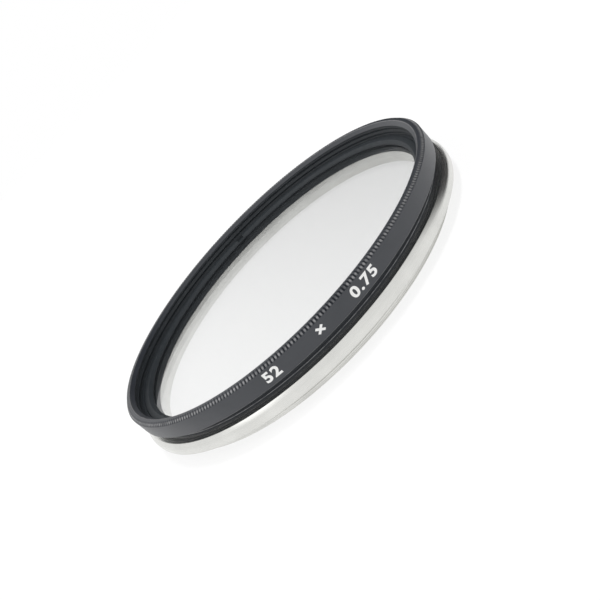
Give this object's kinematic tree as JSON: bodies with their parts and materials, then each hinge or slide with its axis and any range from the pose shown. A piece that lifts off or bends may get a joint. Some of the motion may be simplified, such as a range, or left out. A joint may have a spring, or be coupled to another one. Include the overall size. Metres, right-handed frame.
{
  "type": "screw in lens filter",
  "caption": "Round screw-in lens filter: clear glass in a black knurled ring with a front thread, on a bright mount ring with a rear screw thread.",
  "frame": {"origin": "centre of the rear face, on the optical axis, where the filter lies flat", "axes": "+Z along the optical axis, out of the front of the filter"},
  "size_m": [0.055, 0.055, 0.0069],
  "materials": {
    "black_anodised": "satin black anodised",
    "bare_aluminium": "fine turned, bright",
    "filter_glass": "polished, thin anti-reflection coating",
    "white_marking": "thin printed ink"
  },
  "bodies": {
    "root": {"front_ring": "black_anodised", "mount_ring": "bare_aluminium", "filter_glass": "filter_glass", "retaining_ring": "black_anodised"}
  },
  "joints": []
}
